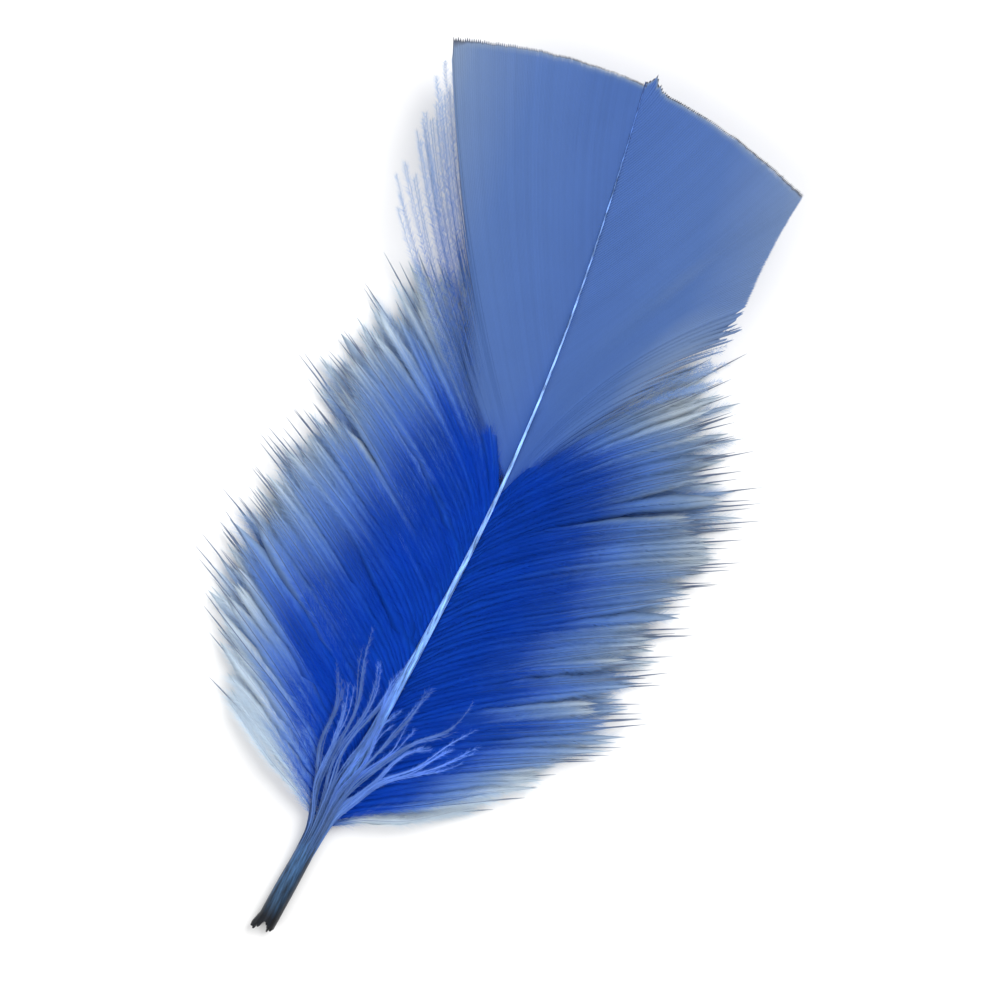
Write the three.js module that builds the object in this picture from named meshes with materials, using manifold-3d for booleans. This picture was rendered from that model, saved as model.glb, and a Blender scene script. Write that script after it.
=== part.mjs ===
// A body feather lying on its back, hollow side up: a cut quill that thins into a grooved shaft, a squared
// vane on each side of the shaft, downy locks below the vanes and an afterfeather over the shaft's foot.
// Millimetres, +Z up, +Y from the quill's cut end to the tip, +X to the right as seen from above.
import * as THREE from "three";
import { mergeVertices } from "three/addons/utils/BufferGeometryUtils.js";
import Module from "manifold-3d";

// Shaft: its length, sideways bow, the rise of its tip and its thickness
const FEATHER_LENGTH = 123;
const SHAFT_BOW = 4.75;
const BOW_SHAPE = 1.2;
const TIP_RISE = 8;
const RISE_SHAPE = 2.2;
const QUILL_RADIUS = 1.4;
const QUILL_LENGTH = 8;
const SHAFT_TIP_RADIUS = 0.1;
const TAPER_SHAPE = 3;
const SHAFT_STATIONS = 26;
const SHAFT_SIDES = 12;
const GROOVE_START = 18;
const GROOVE_FLOOR = 0.5;

// Quill's cut end: the hollow inside it and the split that leaves two prongs
const HOLLOW_RADIUS = 0.95;
const HOLLOW_DEPTH = 6;
const SPLIT_DEPTH = 2.2;
const SPLIT_WIDTH = 1.1;
const CUT_OVERRUN = 1;

// Vanes: one barb in every few is followed, from its root on the shaft to its end on the outline
const VANE_THICKNESS = 0.5;
const VANE_CURL = 0.0048;
const VANE_SEAT = 0.33;
const VANE_TOP_ROOT = 121.2;
const VANE_BARBS = 26;
const BARB_STEPS = 7;
const BARB_BEND = { loose: 0.18, firm: -0.06 };
const LOOSE_BARBS = 9;
const LOW_EDGE_ROOM = 4;
const TOP_BARB_REACH = 0.5;
const TIP_LINE = 122.6;
const TIP_CURVE = 0.0082;
const TIP_RAG = 0.4;
const SIDE_RAG = 1.3;
const SIDE_DENT = 1.6;
const VANES = {
  left: { side: -1, lowRoot: 64, lowEnd: [25.5, 95], cornerRoot: 73, corner: [25, 116.6] },
  right: { side: 1, lowRoot: 63, lowEnd: [25, 91], cornerRoot: 80, corner: [24.7, 117.6] },
};

// Down: flattened locks in a lower layer that rests on the surface and an upper one that lofts over it
const DOWN_START = 17;
const DOWN_END = 64;
const DOWN_REACH = { left: 34.5, right: 37.5 };
const LOWEST_REACH = 0.6;
const FULL_REACH_FROM = 0.14;
const LOCKS_PER_LAYER = 12;
const LOCK_WIDTH = 6;
const LOCK_THICKNESS = 1.9;
const LOCK_LENGTHS = { least: 0.92, most: 1.04 };
const LOCK_ROOT_FULLNESS = 0.3;
const LOCK_BULGE = 1.4;
const LOCK_SWELL = 2.8;
const LOCK_STEPS = 5;
const LOCK_SIDES = 5;
const LOCK_ROOT_ANGLE = { low: 34, high: 14 };
const LOCK_END_ANGLE = { low: 56, high: 32 };
const LOCK_TURN = 0.3;
const LOCK_FANNING = 5;
const LAYERS = {
  lower: { shift: 0, reach: 1, middle: -1, end: 0.8 },
  upper: { shift: 0.5, reach: 0.94, middle: 6.8, end: 2.6 },
};

// Afterfeather: slender strands that leave the top of the quill and fan out over the shaft and the down
const STRANDS = 11;
const STRAND_ROOT = 15;
const STRAND_LENGTH = 29;
const STRAND_LENGTH_SPREAD = 0.28;
const STRAND_FOOT_WIDTH = 1.6;
const STRAND_WIDTH = 1.5;
const STRAND_THICKNESS = 0.9;
const STRAND_STEPS = 4;
const STRAND_SIDES = 4;
const STRAND_FAN = { left: -17, right: 33 };
const STRAND_LEAN = 1;
const STRAND_TURN = 0.45;
const STRAND_LIFT = 0.65;
const STRAND_RISE = { least: 1, most: 2.6, end: 1 };

// The blunt point that locks and strands narrow to, as a share of their full width
const POINT_SHARE = 0.05;

// Room left between neighbouring pieces
const CLEARANCE = 0.2;

const wasm = await Module();
wasm.setup();

const UP = new THREE.Vector3(0, 0, 1);

// A number from 0 to 1 that spreads evenly as its index counts up
function spread(index) {
  const GOLDEN = 0.618034;
  return (index * GOLDEN) % 1;
}

// Where the shaft's axis runs, and how thick the shaft is, at a distance along the feather
function shaftX(y) {
  return SHAFT_BOW * Math.sin(Math.PI * (y / FEATHER_LENGTH) ** BOW_SHAPE);
}

function shaftZ(y) {
  return QUILL_RADIUS + TIP_RISE * (y / FEATHER_LENGTH) ** RISE_SHAPE;
}

function shaftRadius(y) {
  const along = Math.max(0, y - QUILL_LENGTH) / (FEATHER_LENGTH - QUILL_LENGTH);
  return SHAFT_TIP_RADIUS + (QUILL_RADIUS - SHAFT_TIP_RADIUS) * (1 - along) ** TAPER_SHAPE;
}

function meshGeometry(points, triangles) {
  const geometry = new THREE.BufferGeometry();
  geometry.setAttribute("position", new THREE.Float32BufferAttribute(points.flatMap((p) => p.toArray()), 3));
  geometry.setIndex(triangles.flat());
  return geometry;
}

function solidOf(geometry) {
  const bare = geometry.clone();
  bare.deleteAttribute("normal");
  bare.deleteAttribute("uv");
  const merged = mergeVertices(bare);
  return new wasm.Manifold(new wasm.Mesh({
    numProp: 3,
    vertProperties: merged.attributes.position.array,
    triVerts: new Uint32Array(merged.index.array),
  }));
}

function geometryOf(solid) {
  const mesh = solid.getMesh();
  const geometry = new THREE.BufferGeometry();
  geometry.setAttribute("position", new THREE.BufferAttribute(mesh.vertProperties, mesh.numProp));
  geometry.setIndex(new THREE.BufferAttribute(mesh.triVerts, 1));
  return geometry;
}

function largestBody(solid) {
  const bodies = solid.decompose();
  bodies.sort((a, b) => b.volume() - a.volume());
  return bodies[0];
}

// A closed skin over rings that have the same number of points, fanned shut at both ends
function loft(rings) {
  const count = rings[0].length;
  const points = rings.flat();
  const triangles = [];
  for (let i = 0; i < rings.length - 1; i++) {
    for (let j = 0; j < count; j++) {
      const here = i * count + j;
      const beside = i * count + (j + 1) % count;
      triangles.push([here, beside, here + count], [beside, beside + count, here + count]);
    }
  }
  const last = (rings.length - 1) * count;
  for (let j = 1; j < count - 1; j++) {
    triangles.push([0, j + 1, j], [last, last + j, last + j + 1]);
  }
  return meshGeometry(points, triangles);
}

// A flattened tapering strip along a curve; the last ring is a small blunt point
function taperedStrip(curve, steps, sides, halfWidth, halfThickness) {
  const rings = [];
  for (let i = 0; i <= steps; i++) {
    const t = i / steps;
    const centre = curve.getPoint(t);
    const along = curve.getTangent(t);
    const across = new THREE.Vector3().crossVectors(UP, along).normalize();
    const lift = new THREE.Vector3().crossVectors(along, across);
    const ring = [];
    for (let j = 0; j < sides; j++) {
      const turn = (2 * Math.PI * j) / sides;
      ring.push(centre.clone()
        .addScaledVector(across, halfWidth(t) * Math.cos(turn))
        .addScaledVector(lift, halfThickness(t) * Math.sin(turn)));
    }
    rings.push(ring);
  }
  return loft(rings);
}

// The shaft: rings across the feather, each with a groove along its upper side past the quill
function shaftSolid(grow) {
  const rings = [];
  const groovePoint = SHAFT_SIDES / 4;
  for (let i = 0; i <= SHAFT_STATIONS; i++) {
    const y = (FEATHER_LENGTH * i) / SHAFT_STATIONS;
    const radius = shaftRadius(y) + grow;
    const ring = [];
    for (let j = 0; j < SHAFT_SIDES; j++) {
      const turn = (2 * Math.PI * j) / SHAFT_SIDES;
      const grooved = j === groovePoint && y > GROOVE_START && grow === 0;
      const height = radius * Math.sin(turn) * (grooved ? GROOVE_FLOOR : 1);
      ring.push(new THREE.Vector3(shaftX(y) - radius * Math.cos(turn), y, shaftZ(y) + height));
    }
    rings.push(ring);
  }
  return solidOf(loft(rings));
}

// The quill's hollow, tapering inwards from the cut end
function quillHollow() {
  const length = HOLLOW_DEPTH + CUT_OVERRUN;
  const cone = new THREE.CylinderGeometry(HOLLOW_RADIUS / 2, HOLLOW_RADIUS, length, SHAFT_SIDES);
  cone.translate(0, (HOLLOW_DEPTH - CUT_OVERRUN) / 2, shaftZ(0));
  return solidOf(cone);
}

// A wedge across the cut end that leaves a longer prong on the left and a shorter one on the right
function quillSplit() {
  const outline = new THREE.Shape();
  outline.moveTo(-SPLIT_WIDTH / 2, -CUT_OVERRUN);
  outline.lineTo(2 * QUILL_RADIUS, -CUT_OVERRUN);
  outline.lineTo(2 * QUILL_RADIUS, SPLIT_DEPTH / 4);
  outline.lineTo(SPLIT_WIDTH, SPLIT_DEPTH / 3);
  outline.lineTo(SPLIT_WIDTH / 4, SPLIT_DEPTH);
  const wedge = new THREE.ExtrudeGeometry(outline, { depth: 4 * QUILL_RADIUS, bevelEnabled: false });
  wedge.translate(0, 0, -QUILL_RADIUS);
  return solidOf(wedge);
}

// Where a vane's barb ends: on the ragged side below the corner, or on the squared tip above it
function vaneBarbEnd(vane, root, index) {
  const shortened = spread(index);
  if (root < vane.cornerRoot) {
    const v = (root - vane.lowRoot) / (vane.cornerRoot - vane.lowRoot);
    const dent = SIDE_DENT * Math.sin(Math.PI * v) + SIDE_RAG * shortened;
    const out = THREE.MathUtils.lerp(vane.lowEnd[0], vane.corner[0], v) - dent;
    return [out, THREE.MathUtils.lerp(vane.lowEnd[1], vane.corner[1], v)];
  }
  const v = (root - vane.cornerRoot) / (VANE_TOP_ROOT - vane.cornerRoot);
  const rootOut = vane.side * shaftX(root) + shaftRadius(root) + CLEARANCE;
  const out = THREE.MathUtils.lerp(vane.corner[0], rootOut + TOP_BARB_REACH, v);
  return [out, TIP_LINE - TIP_CURVE * out * out - TIP_RAG * shortened];
}

// A vane: a thin sheet ruled by its barbs, curling up away from the shaft
function vaneSolid(vane, grow) {
  const points = [];
  const halfThickness = VANE_THICKNESS / 2 + grow;
  for (let i = 0; i <= VANE_BARBS; i++) {
    const lowered = i === 0 ? LOW_EDGE_ROOM * grow : 0;
    const root = THREE.MathUtils.lerp(vane.lowRoot, VANE_TOP_ROOT, i / VANE_BARBS) - lowered;
    const rootOut = vane.side * shaftX(root) + shaftRadius(root) + CLEARANCE - grow;
    const end = vaneBarbEnd(vane, root, i);
    const endOut = end[0] + grow;
    const endY = end[1] + grow - lowered;
    const bend = THREE.MathUtils.lerp(BARB_BEND.loose, BARB_BEND.firm, Math.min(1, i / LOOSE_BARBS));
    const middle = new THREE.Vector2((rootOut + endOut) / 2, (root + endY) / 2);
    middle.add(new THREE.Vector2(root - endY, endOut - rootOut).multiplyScalar(bend));
    const barb = new THREE.QuadraticBezierCurve(
      new THREE.Vector2(rootOut, root), middle, new THREE.Vector2(endOut, endY));
    for (let j = 0; j <= BARB_STEPS; j++) {
      const at = barb.getPoint(j / BARB_STEPS);
      const fromShaft = at.x - vane.side * shaftX(at.y);
      const z = shaftZ(at.y) - VANE_SEAT * shaftRadius(at.y) + VANE_CURL * fromShaft * fromShaft;
      points.push(new THREE.Vector3(vane.side * at.x, at.y, z + halfThickness));
      points.push(new THREE.Vector3(vane.side * at.x, at.y, z - halfThickness));
    }
  }
  return solidOf(meshGeometry(points, sheetTriangles(VANE_BARBS, BARB_STEPS, vane.side < 0)));
}

// Triangles of a closed sheet whose points come in pairs, above and below, column by column
function sheetTriangles(columns, steps, mirrored) {
  const triangles = [];
  const pair = (i, j) => 2 * (i * (steps + 1) + j);
  const quad = (a, b, c, d) => triangles.push([a, b, c], [a, c, d]);
  for (let i = 0; i < columns; i++) {
    for (let j = 0; j < steps; j++) {
      const [a, b, c, d] = [pair(i, j), pair(i, j + 1), pair(i + 1, j + 1), pair(i + 1, j)];
      quad(a, b, c, d);
      quad(a + 1, d + 1, c + 1, b + 1);
    }
    quad(pair(i, 0), pair(i + 1, 0), pair(i + 1, 0) + 1, pair(i, 0) + 1);
    quad(pair(i, steps), pair(i, steps) + 1, pair(i + 1, steps) + 1, pair(i + 1, steps));
  }
  for (let j = 0; j < steps; j++) {
    quad(pair(0, j), pair(0, j) + 1, pair(0, j + 1) + 1, pair(0, j + 1));
    quad(pair(columns, j), pair(columns, j + 1), pair(columns, j + 1) + 1, pair(columns, j) + 1);
  }
  return mirrored ? triangles.map(([a, b, c]) => [a, c, b]) : triangles;
}

// An angle from the shaft, in radians, that closes up as the locks near the vane
function fanned(angle, order) {
  return THREE.MathUtils.degToRad(THREE.MathUtils.lerp(angle.low, angle.high, order ** LOCK_FANNING));
}

// One lock of down: it leaves the shaft steeply, swings outwards and narrows to a point
function lockSolid(side, reach, layer, index) {
  const order = (index + layer.shift) / LOCKS_PER_LAYER;
  const root = THREE.MathUtils.lerp(DOWN_START, DOWN_END, order);
  const grown = THREE.MathUtils.lerp(LOWEST_REACH, 1, Math.min(1, order / FULL_REACH_FROM));
  const share = THREE.MathUtils.lerp(LOCK_LENGTHS.most, LOCK_LENGTHS.least, spread(index));
  const length = reach * layer.reach * grown * share;
  const endAngle = fanned(LOCK_END_ANGLE, order);
  const rootAngle = fanned(LOCK_ROOT_ANGLE, order);
  const x = shaftX(root) + side * (shaftRadius(root) + LOCK_ROOT_FULLNESS * LOCK_WIDTH / 2);
  const bend = length * LOCK_TURN;
  const curve = new THREE.QuadraticBezierCurve3(
    new THREE.Vector3(x, root, shaftZ(root)),
    new THREE.Vector3(x + side * bend * Math.sin(rootAngle), root + bend * Math.cos(rootAngle), layer.middle),
    new THREE.Vector3(x + side * length * Math.sin(endAngle), root + length * Math.cos(endAngle), layer.end));
  const fullness = (t) => {
    const swollen = Math.min(LOCK_BULGE, LOCK_ROOT_FULLNESS + LOCK_SWELL * t);
    return Math.max(POINT_SHARE, swollen * Math.sqrt(1 - t));
  };
  return solidOf(taperedStrip(curve, LOCK_STEPS, LOCK_SIDES,
    (t) => (LOCK_WIDTH / 2) * fullness(t), (t) => (LOCK_THICKNESS / 2) * fullness(t)));
}

// The down on one side: both layers of locks fused at their roots, flat where they rest
function downSolid(side, reach, neighbours) {
  const locks = [];
  for (const layer of Object.values(LAYERS)) {
    for (let i = 0; i < LOCKS_PER_LAYER; i++) {
      locks.push(lockSolid(side, reach, layer, i));
    }
  }
  let down = wasm.Manifold.union(locks).trimByPlane([0, 0, 1], 0);
  for (const neighbour of neighbours) {
    down = down.subtract(neighbour);
  }
  return largestBody(down);
}

// The afterfeather: strands fused where they leave the quill, lying over the shaft
function afterfeatherSolid(grow) {
  const strands = [];
  for (let i = 0; i < STRANDS; i++) {
    const across = i / (STRANDS - 1);
    const angle = THREE.MathUtils.degToRad(THREE.MathUtils.lerp(STRAND_FAN.left, STRAND_FAN.right, across));
    const length = STRAND_LENGTH * (1 - STRAND_LENGTH_SPREAD * spread(i + 1));
    const x = shaftX(STRAND_ROOT) + STRAND_FOOT_WIDTH * (across - 0.5);
    const z = shaftZ(STRAND_ROOT) + shaftRadius(STRAND_ROOT) + STRAND_LIFT;
    const rise = THREE.MathUtils.lerp(STRAND_RISE.least, STRAND_RISE.most, spread(2 * i));
    const endX = x + length * Math.sin(angle);
    const endY = STRAND_ROOT + length * Math.cos(angle);
    const curve = new THREE.QuadraticBezierCurve3(
      new THREE.Vector3(x, STRAND_ROOT, z),
      new THREE.Vector3(x + STRAND_LEAN, STRAND_ROOT + length * STRAND_TURN, z + rise),
      new THREE.Vector3(endX, endY, z + STRAND_RISE.end));
    const fullness = (t) => Math.max(POINT_SHARE, Math.sqrt(1 - t));
    strands.push(solidOf(taperedStrip(curve, STRAND_STEPS, STRAND_SIDES,
      (t) => (STRAND_WIDTH / 2) * fullness(t) + grow, (t) => (STRAND_THICKNESS / 2) * fullness(t) + grow)));
  }
  return largestBody(wasm.Manifold.union(strands));
}

function finish(color, roughness) {
  return new THREE.MeshStandardMaterial({ color, roughness, metalness: 0 });
}

function piece(name, solid, material) {
  const mesh = new THREE.Mesh(geometryOf(solid), material);
  mesh.name = name;
  return mesh;
}

const shaft = shaftSolid(0).subtract(quillHollow()).subtract(quillSplit());
const shaftRoom = shaftSolid(CLEARANCE);
const afterfeatherRoom = afterfeatherSolid(CLEARANCE);

const feather = new THREE.Group();
feather.add(piece("shaft", shaft, finish(0x6f9bd0, 0.35)));
for (const [name, vane] of Object.entries(VANES)) {
  feather.add(piece(`vane_${name}`, vaneSolid(vane, 0), finish(0x5878b2, 0.65)));
}
for (const [name, vane] of Object.entries(VANES)) {
  const neighbours = [shaftRoom, vaneSolid(vane, CLEARANCE), afterfeatherRoom];
  const down = downSolid(vane.side, DOWN_REACH[name], neighbours);
  feather.add(piece(`down_${name}`, down, finish(0x1c469c, 0.85)));
}
feather.add(piece("afterfeather", afterfeatherSolid(0), finish(0x5f86c4, 0.55)));

// The origin is under the middle of the feather, on the surface that it lies on
const middle = new THREE.Box3().setFromObject(feather).getCenter(new THREE.Vector3());
feather.position.set(-middle.x, -middle.y, 0);

export default feather;
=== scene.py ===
import math

import bpy
import numpy as np
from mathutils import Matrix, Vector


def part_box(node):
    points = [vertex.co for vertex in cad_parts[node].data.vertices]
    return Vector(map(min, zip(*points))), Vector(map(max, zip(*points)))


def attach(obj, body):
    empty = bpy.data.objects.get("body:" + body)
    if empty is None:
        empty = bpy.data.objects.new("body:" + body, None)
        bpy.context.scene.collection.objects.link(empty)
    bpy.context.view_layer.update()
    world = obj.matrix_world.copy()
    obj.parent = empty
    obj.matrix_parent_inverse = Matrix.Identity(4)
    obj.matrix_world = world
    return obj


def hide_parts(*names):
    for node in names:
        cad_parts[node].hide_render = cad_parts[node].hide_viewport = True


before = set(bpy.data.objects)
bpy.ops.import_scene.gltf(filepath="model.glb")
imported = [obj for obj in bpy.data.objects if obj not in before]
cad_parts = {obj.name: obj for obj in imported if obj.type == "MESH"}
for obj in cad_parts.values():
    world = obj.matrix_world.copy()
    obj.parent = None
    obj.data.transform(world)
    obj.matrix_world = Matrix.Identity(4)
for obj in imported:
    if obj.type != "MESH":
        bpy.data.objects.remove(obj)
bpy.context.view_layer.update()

# Shaft. The quill and the shaft are one tube of dyed horn: hollow and torn off at its foot, grooved along its
# upper side and drawn out to a hair at the tip. Everything else on the feather grows from it.
FEATHER_LENGTH = 123.0
SHAFT_BOW = 4.75
BOW_SHAPE = 1.2
TIP_RISE = 8.0
RISE_SHAPE = 2.2
QUILL_RADIUS = 1.4
QUILL_LENGTH = 8.0
SHAFT_TIP_RADIUS = 0.1
TAPER_SHAPE = 3.0
SHAFT_SIDES = 16
SHAFT_STATIONS = [0, 0.7, 1.6, 2.8, 4.5, 7, 10, 13, 16, 20, 25, 31, 38, 46, 55, 64, 73, 82, 90, 98, 105,
                  111, 116, 119.5, 121.8, 122.8, 123]
QUILL_LEAN = 0.06

# Its hollow, its groove and the tear at its foot
QUILL_WALL = 0.68
HOLLOW_STEPS = [0.35, 1.0, 3.0]
HOLLOW_TAPER = 0.9
GROOVE_START = 17.0
GROOVE_END = 95.0
GROOVE_FLOOR = 0.45
TEAR_LENGTH = 2.6
PRONG_DEPTH = 1.3
PRONG_SHAPE = 2.6
RIGHT_PRONG_CUT = 0.5
SPLINTER = 0.42
SPLINTER_TURNS = (6.3, 15)
SPLAY = 0.45

shaft_low, shaft_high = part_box("shaft")
quill_foot = np.array([shaft_low.x * 1000 + QUILL_RADIUS, shaft_low.y * 1000, 0.0])


def in_frame(points):
    """Millimetres from the quill's torn end, as metres in the frame."""
    return (np.asarray(points, float) + quill_foot) / 1000


def shaft_x(y):
    return SHAFT_BOW * np.sin(np.pi * (np.clip(y, 0, FEATHER_LENGTH) / FEATHER_LENGTH) ** BOW_SHAPE)


def shaft_z(y):
    return QUILL_RADIUS + TIP_RISE * (np.clip(y, 0, None) / FEATHER_LENGTH) ** RISE_SHAPE


def shaft_radius(y):
    along = np.clip((y - QUILL_LENGTH) / (FEATHER_LENGTH - QUILL_LENGTH), 0, 1)
    return SHAFT_TIP_RADIUS + (QUILL_RADIUS - SHAFT_TIP_RADIUS) * (1 - along) ** TAPER_SHAPE


def shaft_centre(y):
    return in_frame((shaft_x(y), y, shaft_z(y)))


def extrude_ring(step, shrink, centre):
    bpy.ops.mesh.extrude_edges_move(TRANSFORM_OT_translate={"value": tuple(step)})
    bpy.ops.transform.resize(value=(shrink, 1, shrink), center_override=tuple(centre))


bpy.ops.object.select_all(action="DESELECT")
bpy.ops.mesh.primitive_circle_add(
    vertices=SHAFT_SIDES, radius=QUILL_RADIUS / 1000, location=tuple(shaft_centre(0)),
    rotation=(math.pi / 2, 0, 0))
shaft = bpy.context.object
shaft.name = "quill_and_shaft"
bpy.ops.object.transform_apply(location=True, rotation=True, scale=True)
bpy.ops.object.mode_set(mode="EDIT")
bpy.ops.mesh.select_all(action="SELECT")
for here, there in zip(SHAFT_STATIONS, SHAFT_STATIONS[1:]):
    step = shaft_centre(there) - shaft_centre(here)
    extrude_ring(step, shaft_radius(there) / shaft_radius(here), shaft_centre(there))
bpy.ops.mesh.merge(type="CENTER")

# The hollow: the torn rim is turned in and run back up the quill
bpy.ops.mesh.select_all(action="DESELECT")
bpy.ops.object.mode_set(mode="OBJECT")
torn_line = in_frame((0, 0.01, 0))[1]
for vertex in shaft.data.vertices:
    vertex.select = bool(vertex.co.y < torn_line)
bpy.ops.object.mode_set(mode="EDIT")
extrude_ring((0, 0, 0), QUILL_WALL, shaft_centre(0))
for depth in HOLLOW_STEPS:
    extrude_ring((0, depth / 1000, 0), HOLLOW_TAPER, shaft_centre(0))
bpy.ops.mesh.merge(type="CENTER")
bpy.ops.mesh.select_all(action="SELECT")
bpy.ops.mesh.normals_make_consistent(inside=False)
bpy.ops.object.mode_set(mode="OBJECT")

# The groove along the upper side
for vertex in shaft.data.vertices:
    x, y, z = np.array(vertex.co) * 1000 - quill_foot
    if y > GROOVE_START and abs(x - shaft_x(y)) < shaft_radius(y) / 8 and z > shaft_z(y):
        fading = np.clip((GROOVE_END - y) / GROOVE_START, 0, 1)
        vertex.co.z -= fading * (1 - GROOVE_FLOOR) * shaft_radius(y) / 1000

rounding = shaft.modifiers.new("rounding", "SUBSURF")
rounding.levels = rounding.render_levels = 2
bpy.context.view_layer.objects.active = shaft
bpy.ops.object.modifier_apply(modifier="rounding")
bpy.ops.object.shade_smooth()

# The tear: two ragged prongs, the longer one on the left, with splinters between them
for vertex in shaft.data.vertices:
    x, y, z = np.array(vertex.co) * 1000 - quill_foot
    turn = math.atan2(z - QUILL_RADIUS, x)
    cut = PRONG_DEPTH * (1 - abs(math.cos(turn))) ** PRONG_SHAPE + RIGHT_PRONG_CUT * max(0.0, math.cos(turn))
    coarse, close = SPLINTER_TURNS
    cut += SPLINTER * (abs(math.sin(coarse * turn)) + abs(math.sin(close * turn + 1)))
    torn = max(0.0, 1 - y / TEAR_LENGTH)
    vertex.co.y += torn * cut / 1000
    vertex.co.x -= torn * SPLAY * max(0.0, -math.cos(turn)) / 1000


def linear(red, green, blue):
    """A display colour, 0 to 255, as the linear values that a shader takes."""
    channels = (red, green, blue)
    return tuple(((c / 255 + 0.055) / 1.055) ** 2.4 if c > 10 else c / 3294.6 for c in channels) + (1.0,)


def new_material(name):
    """A node material with only its output, and a function that adds nodes to it."""
    material = bpy.data.materials.new(name)
    material.use_nodes = True
    tree = material.node_tree
    tree.nodes.clear()

    def add(kind, inputs=None, **settings):
        node = tree.nodes.new(kind)
        for key, value in settings.items():
            setattr(node, key, value)
        for key, value in (inputs or {}).items():
            if isinstance(value, bpy.types.NodeSocket):
                tree.links.new(value, node.inputs[key])
            else:
                node.inputs[key].default_value = value
        return node

    return material, add


def colour_ramp(add, factor, stops):
    node = add("ShaderNodeValToRGB", {"Fac": factor})
    elements = node.color_ramp.elements
    elements.remove(elements[1])
    elements[0].position, elements[0].color = stops[0][0], linear(*stops[0][1])
    for position, colour in stops[1:]:
        elements.new(position).color = linear(*colour)
    return node.outputs["Color"]


def horn_dye_and_painted_light():
    """Dyed horn: black at the tear and steel blue on the quill, with painted shade down the quill's right
    side; pale up the shaft, where a painted highlight runs brightest along its middle and fades into
    painted shade near the tip."""
    material, add = new_material("horn_dye_and_painted_light")
    place = add("ShaderNodeTexCoord").outputs["Object"]
    parted = add("ShaderNodeSeparateXYZ", {"Vector": place})
    x, y = parted.outputs["X"], parted.outputs["Y"]
    low_y, high_y = shaft_low.y, shaft_high.y
    along = add("ShaderNodeMapRange", {"Value": y, "From Min": low_y, "From Max": high_y}).outputs["Result"]
    # Colour by height: black at the tear, steel blue on the quill, pale up the shaft. The brightest stretch
    # along the middle of the shaft is a painted highlight, and the fall to a deeper blue near the tip is
    # painted shade.
    dye = colour_ramp(add, along, [
        (0.0, (4, 9, 18)), (0.02, (8, 16, 28)), (0.034, (28, 50, 72)), (0.06, (40, 68, 98)),
        (0.1, (52, 86, 128)), (0.14, (74, 112, 170)), (0.3, (108, 152, 222)), (0.55, (132, 174, 242)),
        (0.75, (132, 170, 236)), (0.87, (108, 146, 212)), (0.93, (72, 106, 172)), (1.0, (62, 94, 160))])
    drawn_out = add("ShaderNodeMapping", {"Vector": place, "Scale": (2600, 240, 2600)}).outputs["Vector"]
    streaks = add("ShaderNodeTexNoise", {"Vector": drawn_out, "Scale": 1.0, "Detail": 5.0, "Roughness": 0.65})
    light = add("ShaderNodeMapRange", {"Value": streaks.outputs["Fac"], "From Min": 0.38, "From Max": 0.66,
                                       "To Min": 0.35, "To Max": 2.0}).outputs["Result"]
    # Painted shade: the quill is made darker down its right side, fading out where the shaft leaves the
    # quill.
    axis = shaft_centre(0)[0] - QUILL_LEAN * low_y
    axis = add("ShaderNodeMath", {0: y, 1: QUILL_LEAN, 2: axis}, operation="MULTIPLY_ADD").outputs["Value"]
    aside = add("ShaderNodeMath", {0: x, 1: axis}, operation="SUBTRACT").outputs["Value"]
    right_side_shade = add("ShaderNodeMapRange", {"Value": aside, "From Min": 0.0002, "From Max": 0.0012, "To Min": 0.0,
                                        "To Max": 0.7}, interpolation_type="SMOOTHSTEP").outputs["Result"]
    on_quill = add("ShaderNodeMapRange", {"Value": along, "From Min": 0.1, "From Max": 0.14, "To Min": 1.0,
                                          "To Max": 0.0}).outputs["Result"]
    darker = add("ShaderNodeMath", {0: right_side_shade, 1: on_quill}, operation="MULTIPLY").outputs["Value"]
    kept = add("ShaderNodeMath", {0: 1.0, 1: darker}, operation="SUBTRACT").outputs["Value"]
    light = add("ShaderNodeMath", {0: light, 1: kept}, operation="MULTIPLY").outputs["Value"]
    colour = add("ShaderNodeHueSaturation", {"Color": dye, "Value": light}).outputs["Color"]
    rough = add("ShaderNodeMapRange", {"Value": streaks.outputs["Fac"], "To Min": 0.28, "To Max": 0.55})
    bump = add("ShaderNodeBump", {"Height": streaks.outputs["Fac"], "Strength": 0.45, "Distance": 0.00015})
    horn = add("ShaderNodeBsdfPrincipled", {
        "Base Color": colour, "Roughness": rough.outputs["Result"], "Normal": bump.outputs["Normal"],
        "Specular IOR Level": 0.28})
    add("ShaderNodeOutputMaterial", {"Surface": horn.outputs["BSDF"]})
    return material


shaft.data.materials.append(horn_dye_and_painted_light())
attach(shaft, "root")
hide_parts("shaft")

# Vanes. Each is a row of barbs that grow from the side of the shaft and hook on to their neighbours, so that
# together they are one thin closed web. The lowest barbs have come unhooked and stray towards their ends.
VANES = {
    "left": {"side": -1, "low_root": 68, "low_end": (25.5, 96), "low_bend": -0.06,
             "corner_root": 72, "corner": (25, 116.6)},
    "right": {"side": 1, "low_root": 63, "low_end": (25, 91), "low_bend": 0.18,
              "corner_root": 80, "corner": (24.7, 117.6)},
}
VANE_TOP_ROOT = 121.2
VANE_BARBS = 180
VANE_STATIONS = 24
LOW_CROWDING = 1.5
TIP_CROWDING = 1.5
UP = np.array([0.0, 0.0, 1.0])

# The outline of the vanes and the lie of their barbs
TIP_LINE = 122.6
TIP_CURVE = 0.0082
TIP_TUFT = [0.1, 0.3, 0.2, 0.5, 0.8, 0.6, 1.3, 1.8, 1.1, 0.7, 0.4]
SIDE_DENT = 0.9
MEETING_LENGTH = 9.0
MEETING_LAP = 0.1
BARB_FOOT = 0.6
FIRM_BEND = -0.06
FIRM_FROM = 0.5
VANE_CURL = 0.0048
RIPPLE_HEIGHT = 0.05
LENGTH_JITTER = 0.0012
LENGTH_WAVE = 0.006
LENGTH_WAVES = 14

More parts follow.
